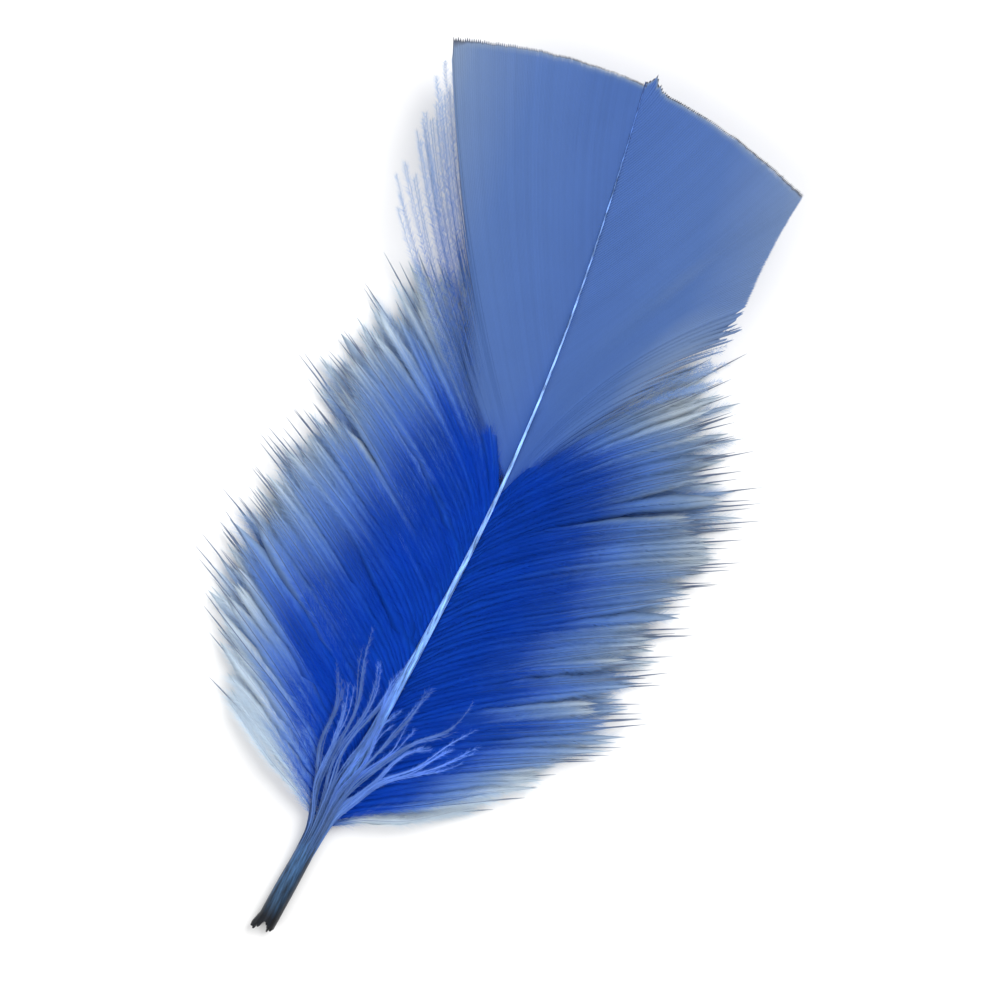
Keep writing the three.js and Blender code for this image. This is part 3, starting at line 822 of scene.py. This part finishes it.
# The ribbons: how they cling to the quill, leave it and lie over each other
RIBBON_CLING = (150, 25)
CLING_GAP = 0.12
RIBBON_FOOT = (9.0, 12.0)
FOOT_LENGTH = 2.5
LEAVES_QUILL = 16.0
RIBBON_START = 3.2
RIBBON_HEIGHT = (4.3, 5.2)
RIBBON_STACK = 0.5
RIBBON_WIDTH = (0.28, 0.36, 0.08)
RIBBON_SPREAD = (0.6, 1.4)
RIBBON_WAVE = 0.4
RIBBON_WAVES = (8, 16)

# Their strands, and the wisps on these
STRAND_WIDTH = 0.065
STRAND_FLATNESS = 0.6
STRAND_STACK = 0.15
STRAND_WAVE = 0.14
STRAND_WAVES = (9, 22)
STRAND_STARTS = (0.0, 0.14)
STRAND_ENDS = (0.8, 1.0)
FRAY = 0.5
WISPS = 300
WISP_LENGTH = (0.3, 1.0)
WISP_WIDTH = 0.045
WISP_LEAN = (12, 42)
WISP_TILT = 35


def smooth_line(corners, stations):
    """Evenly spaced points on a line through the corners, with the corners rounded off."""
    corners = np.array(corners, float)
    reached = np.concatenate([[0], np.cumsum(np.linalg.norm(np.diff(corners, axis=0), axis=1))])
    places = np.linspace(0, reached[-1], stations)
    line = np.stack([np.interp(places, reached, corners[:, k]) for k in range(corners.shape[1])], 1)
    for _ in range(5):
        line[1:-1] = (line[:-2] + 2 * line[1:-1] + line[2:]) / 4
    return line


def ribbon_line(index, dice):
    """The middle of a ribbon: up the quill, off its top and along the way that it has matted."""
    cling = math.radians(blend(*RIBBON_CLING, index / (len(RIBBONS) - 1)))
    foot = dice.uniform(*RIBBON_FOOT)
    corners = []
    for y, gap in ((foot, -CLING_GAP), (foot + FOOT_LENGTH, 0.0), (LEAVES_QUILL, CLING_GAP)):
        size = shaft_radius(y) + gap
        corners.append((shaft_x(y) + size * math.cos(cling), y, shaft_z(y) + size * math.sin(cling)))
    heights = np.linspace(RIBBON_START, dice.uniform(*RIBBON_HEIGHT), len(RIBBONS[index]))
    corners += [(x, y, z) for (x, y), z in zip(RIBBONS[index], heights)]
    return smooth_line(corners, STRAND_STATIONS)


def make_afterfeather(material, dice):
    """All the ribbons, as strands with wisps on them."""
    ribbons = len(RIBBONS)
    count = ribbons * RIBBON_STRANDS
    lines = np.repeat([ribbon_line(index, dice) for index in range(ribbons)], RIBBON_STRANDS, 0)
    t = np.linspace(0, 1, STRAND_STATIONS)[None, :]
    across, lift = directions(lines)[1:]
    beside = np.tile(np.linspace(-0.5, 0.5, RIBBON_STRANDS), ribbons)[:, None]
    aside = beside * np.interp(t, (0.1, 0.5, 0.95), RIBBON_WIDTH)
    aside = aside * np.repeat(dice.uniform(*RIBBON_SPREAD, ribbons), RIBBON_STRANDS)[:, None]
    aside = aside + FRAY * dice.normal(0, 1, (count, 1)) * ease((t - 0.55) / 0.45) ** 1.5
    bends = np.sin(dice.uniform(*RIBBON_WAVES, (ribbons, 1)) * t + dice.uniform(0, 6.3, (ribbons, 1)))
    waves = np.sin(dice.uniform(*STRAND_WAVES, (count, 1)) * t + dice.uniform(0, 6.3, (count, 1)))
    sway = RIBBON_WAVE * np.repeat(bends, RIBBON_STRANDS, 0) + STRAND_WAVE * waves
    aside = aside + ease((t - 0.15) / 0.35) * sway
    lines = lines + across * aside[..., None]
    stacked = np.repeat(dice.uniform(-RIBBON_STACK, RIBBON_STACK, (ribbons, 1)), RIBBON_STRANDS, 0)
    stacked = stacked + dice.uniform(-STRAND_STACK, STRAND_STACK, (count, 1))
    lines += lift * (stacked * ease(t / 0.25))[..., None]

    # Strands start and end at different places along their ribbon
    starts = dice.uniform(*STRAND_STARTS, (count, 1))
    ends = dice.uniform(*STRAND_ENDS, (count, 1))
    places = blend(starts, ends, t) * (STRAND_STATIONS - 1)
    low = np.minimum(places.astype(int), STRAND_STATIONS - 2)
    row = np.arange(count)[:, None]
    lines = blend(lines[row, low], lines[row, low + 1], (places - low)[..., None])

    pointed = np.clip((1 - t) / 0.2, 0.1, 1) * np.clip(t / 0.12, 0.15, 1)
    width = STRAND_WIDTH * blend(1, 0.5, t) * pointed * dice.uniform(0.75, 1.4, (count, 1))
    # Each ribbon, and each strand in it, has its own brightness over a wide range, lower towards the left
    # ribbons: partly the strands' uneven tone, partly painted highlight on the bright ones and painted shade
    # on the dark ones, which stand for the gaps between ribbons.
    ribbon_tone_and_painted_light = np.linspace(0.0, 0.45, ribbons) + 0.5 * dice.random(ribbons)
    shade = np.repeat(ribbon_tone_and_painted_light, RIBBON_STRANDS) + 0.4 * dice.random(count)
    strands = tube_part(rings_round(lines, width, 5, STRAND_FLATNESS), np.repeat(t, count, 0), shade)

    barb = np.repeat(np.arange(count), WISPS)
    amount = len(barb)
    at = 0.2 + 0.78 * dice.random(amount)
    blades = blade_part(
        lines, shade, np.zeros(count), barb, at, np.where(dice.random(amount) < 0.5, -1, 1),
        dice.uniform(*WISP_LENGTH, amount) * blend(0.5, 1, at), np.full(amount, WISP_WIDTH),
        np.radians(dice.uniform(*WISP_LEAN, amount)), np.radians(dice.normal(0, WISP_TILT, amount)))
    return joined_piece("afterfeather_strands", [strands, blades], "afterfeather", material)


# The wide range of brightness carries the ribbons' painted highlights and painted shade.
matted_barbs = plumage(
    "matted_barbs",
    [(0.0, (58, 92, 138)), (0.3, (78, 114, 182)), (0.7, (82, 120, 192)), (1.0, (92, 134, 212))],
    [(0.0, (76, 114, 186)), (1.0, (88, 130, 206))],
    rough=0.33, gloss=0.6, through=0.2, shade_range=(0.3, 1.85))
make_afterfeather(matted_barbs, np.random.default_rng(71))

# Studio. A plain pale floor, soft light from the upper right, and a camera that looks straight down with the
# feather leaning to the right.
LEAN = math.radians(24.4)
VIEW_CENTRE = (5.2, 65.5, 4.0)
VIEW_WIDTH = 0.132
LENS = 100.0
SENSOR = 36.0
FLOOR_SIZE = 6.0
ROOM_LIGHT = 0.65

bpy.ops.object.select_all(action="DESELECT")
bpy.ops.mesh.primitive_plane_add(size=FLOOR_SIZE, location=(0, 0, 0))
floor = bpy.context.object
floor.name = "floor"
floor_paint, add = new_material("pale_floor")
paint = add("ShaderNodeBsdfPrincipled", {
    "Base Color": (0.86, 0.86, 0.86, 1), "Roughness": 0.8, "Specular IOR Level": 0.2})
add("ShaderNodeOutputMaterial", {"Surface": paint.outputs["BSDF"]})
floor.data.materials.append(floor_paint)


def soft_light(name, right, up, height, size, power):
    """A square lamp placed by the camera's right and up, aimed at the feather."""
    lamp = bpy.data.lights.new(name, "AREA")
    lamp.size = size
    lamp.energy = power
    holder = bpy.data.objects.new(name, lamp)
    bpy.context.scene.collection.objects.link(holder)
    x = right * math.cos(LEAN) - up * math.sin(LEAN)
    y = right * math.sin(LEAN) + up * math.cos(LEAN)
    holder.location = (x, y, height)
    holder.rotation_euler = (-holder.location).to_track_quat("-Z", "Y").to_euler()


soft_light("key_light", right=0.5, up=0.4, height=0.8, size=0.6, power=8.0)
soft_light("fill_light", right=-0.6, up=-0.3, height=0.8, size=0.8, power=4.0)
world = bpy.data.worlds.new("pale_room")
world.use_nodes = True
world.node_tree.nodes["Background"].inputs["Color"].default_value = (1, 1, 1, 1)
world.node_tree.nodes["Background"].inputs["Strength"].default_value = ROOM_LIGHT
bpy.context.scene.world = world
bpy.context.scene.view_settings.view_transform = "Standard"

camera_data = bpy.data.cameras.new("camera")
camera_data.lens = LENS
camera_data.sensor_width = SENSOR
camera = bpy.data.objects.new("camera", camera_data)
bpy.context.scene.collection.objects.link(camera)
aim = in_frame(VIEW_CENTRE)
camera.location = (aim[0], aim[1], aim[2] + VIEW_WIDTH * LENS / SENSOR)
camera.rotation_euler = (0, 0, LEAN)
bpy.context.scene.camera = camera
